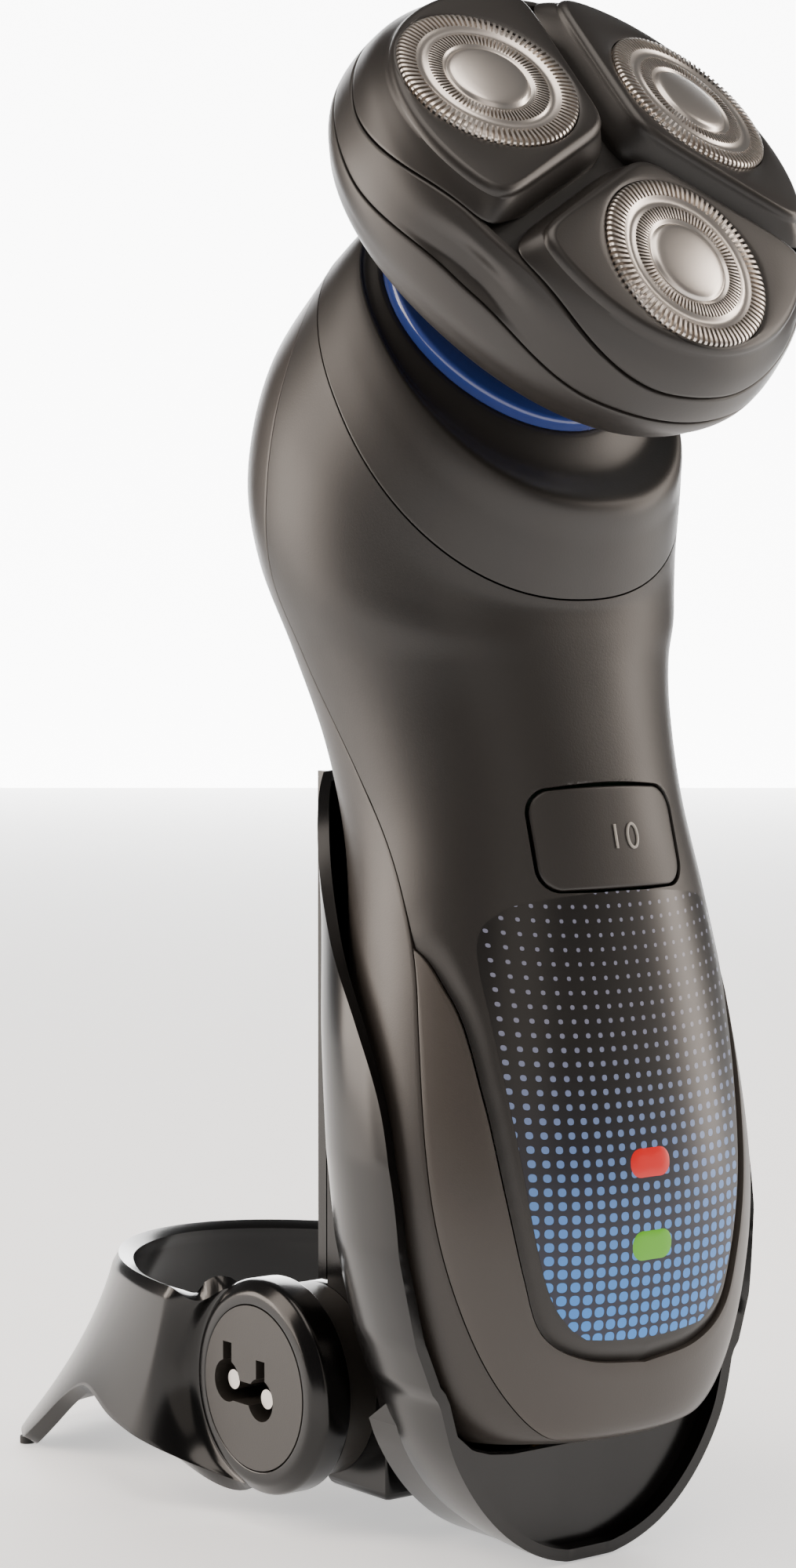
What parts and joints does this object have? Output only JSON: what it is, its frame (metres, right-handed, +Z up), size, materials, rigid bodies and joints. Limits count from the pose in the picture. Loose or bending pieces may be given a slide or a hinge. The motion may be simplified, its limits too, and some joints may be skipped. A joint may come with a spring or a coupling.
{
  "type": "electric shaver",
  "caption": "Cordless three-head rotary shaver docked in a folding mains charging stand; tilting head, lift-off cutter frame, push button, dotted display window.",
  "frame": {"origin": "middle of the whole object's box, on the ground", "axes": "+Z up, front of the shaver towards -Y, X across; symmetric about X = 0 apart from the inlet"},
  "size_m": [0.0578, 0.1153, 0.1757],
  "materials": {
    "soft_black": "soft-touch satin",
    "side_black": "soft-touch satin",
    "trim_grey": "satin metallic lacquer",
    "gloss_black": "high gloss",
    "window": "dotted print under a clear face",
    "blue": "gloss",
    "red_light": "lens",
    "green_light": "lens",
    "steel": "polished",
    "black_rubber": "matt",
    "board": "lacquered",
    "contact_gold": "polished",
    "cell": "sleeve",
    "white_plastic": "plain",
    "dark_metal": "satin"
  },
  "bodies": {
    "stand": {"stand_cradle": "gloss_black", "stand_spine": "gloss_black", "spine_cover": "gloss_black", "spine_screws": "steel", "mains_inlet": "gloss_black", "inlet_pins": "steel", "barrel_cap": "gloss_black", "charger_board": "board", "charger_transformer": "dark_metal", "dock_contacts": "contact_gold"},
    "foot": {"stand_foot": "gloss_black", "foot_pads": "black_rubber"},
    "handle": {"front_cover": "soft_black", "rear_cover": "side_black", "trim_frame": "trim_grey", "display_window": "window", "charge_light": "green_light", "low_light": "red_light", "button_switch": "black_rubber", "circuit_board": "board", "battery_cell": "cell", "chassis": "white_plastic", "charge_sockets": "contact_gold", "cover_screws": "steel", "neck_collar": "side_black", "neck_ring": "blue", "neck_post": "dark_metal", "motor": "dark_metal"},
    "button": {"power_button": "soft_black"},
    "rotor": {"motor_shaft": "steel"},
    "gimbal": {"gimbal_ring": "dark_metal"},
    "head": {"head_base": "soft_black", "gear_plate": "white_plastic"},
    "drive": {"drive_gear": "white_plastic"},
    "frame": {"head_frame": "soft_black"},
    "gear_front": {"gear_front": "white_plastic"},
    "pod_front": {"pod_front": "soft_black", "guard_front": "steel", "retainer_front": "dark_metal"},
    "cutter_front": {"cutter_front": "steel"},
    "gear_left": {"gear_left": "white_plastic"},
    "pod_left": {"pod_left": "soft_black", "guard_left": "steel", "retainer_left": "dark_metal"},
    "cutter_left": {"cutter_left": "steel"},
    "gear_right": {"gear_right": "white_plastic"},
    "pod_right": {"pod_right": "soft_black", "guard_right": "steel", "retainer_right": "dark_metal"},
    "cutter_right": {"cutter_right": "steel"}
  },
  "joints": [
    {"name": "shaver_lift", "type": "slide", "parent": "stand", "child": "handle", "axis": [0, -0.6, 0.8], "range_m": [0, 0.08]},
    {"name": "foot_fold", "type": "hinge", "parent": "stand", "child": "foot", "pos_m": [0, -0.00291, 0.0164], "axis": [1, 0, 0], "range_deg": [0, 72]},
    {"name": "button_press", "type": "slide", "parent": "handle", "child": "button", "axis": [0, 0.9833, -0.1822], "range_m": [0, 0.0007], "stiffness_N_per_m": 900, "springref_m": -0.0006},
    {"name": "head_pitch", "type": "hinge", "parent": "handle", "child": "gimbal", "pos_m": [0, -0.02511, 0.14409], "axis": [1, 0, 0], "range_deg": [-8, 8], "stiffness_Nm_per_rad": 1.2},
    {"name": "head_roll", "type": "hinge", "parent": "gimbal", "child": "head", "pos_m": [0, -0.02511, 0.14409], "axis": [0, 0.6184, 0.7859], "range_deg": [-8, 8], "stiffness_Nm_per_rad": 1.2},
    {"name": "motor_spin", "type": "hinge", "parent": "handle", "child": "rotor", "pos_m": [0, -0.01882, 0.13915], "axis": [0, -0.7859, 0.6184], "continuous": true},
    {"name": "drive_spin", "type": "hinge", "parent": "head", "child": "drive", "pos_m": [0, -0.031, 0.14873], "axis": [0, -0.7859, 0.6184], "continuous": true},
    {"name": "frame_release", "type": "slide", "parent": "head", "child": "frame", "axis": [0, -0.7859, 0.6184], "range_m": [0, 0.03]},
    {"name": "gear_front_spin", "type": "hinge", "parent": "head", "child": "gear_front", "pos_m": [0, -0.04145, 0.13545], "axis": [0, -0.7859, 0.6184], "continuous": true},
    {"name": "pod_front_tilt", "type": "hinge", "parent": "frame", "child": "pod_front", "pos_m": [0, -0.04968, 0.14253], "axis": [1, 0, 0], "range_deg": [-3, 3], "stiffness_Nm_per_rad": 0.15},
    {"name": "cutter_front_spin", "type": "hinge", "parent": "pod_front", "child": "cutter_front", "pos_m": [0, -0.04968, 0.14253], "axis": [0, -0.8746, 0.4848], "continuous": true},
    {"name": "gear_left_spin", "type": "hinge", "parent": "head", "child": "gear_left", "pos_m": [-0.01464, -0.02578, 0.15537], "axis": [0, -0.7859, 0.6184], "continuous": true},
    {"name": "pod_left_tilt", "type": "hinge", "parent": "frame", "child": "pod_left", "pos_m": [-0.01422, -0.03444, 0.16189], "axis": [-0.5, -0.5356, -0.6806], "range_deg": [-3, 3], "stiffness_Nm_per_rad": 0.15},
    {"name": "cutter_left_spin", "type": "hinge", "parent": "pod_left", "child": "cutter_left", "pos_m": [-0.01422, -0.03444, 0.16189], "axis": [-0.1385, -0.7263, 0.6733], "continuous": true},
    {"name": "gear_right_spin", "type": "hinge", "parent": "head", "child": "gear_right", "pos_m": [0.01464, -0.02578, 0.15537], "axis": [0, -0.7859, 0.6184], "continuous": true},
    {"name": "pod_right_tilt", "type": "hinge", "parent": "frame", "child": "pod_right", "pos_m": [0.01422, -0.03444, 0.16189], "axis": [-0.5, 0.5356, 0.6806], "range_deg": [-3, 3], "stiffness_Nm_per_rad": 0.15},
    {"name": "cutter_right_spin", "type": "hinge", "parent": "pod_right", "child": "cutter_right", "pos_m": [0.01422, -0.03444, 0.16189], "axis": [0.1385, -0.7263, 0.6733], "continuous": true}
  ],
  "couplings": [
    {"joint": "motor_spin", "follows": "drive_spin", "ratio": 1},
    {"joint": "gear_front_spin", "follows": "drive_spin", "ratio": -1.25},
    {"joint": "cutter_front_spin", "follows": "drive_spin", "ratio": -1.25},
    {"joint": "gear_left_spin", "follows": "drive_spin", "ratio": -1.25},
    {"joint": "cutter_left_spin", "follows": "drive_spin", "ratio": -1.25},
    {"joint": "gear_right_spin", "follows": "drive_spin", "ratio": -1.25},
    {"joint": "cutter_right_spin", "follows": "drive_spin", "ratio": -1.25}
  ]
}
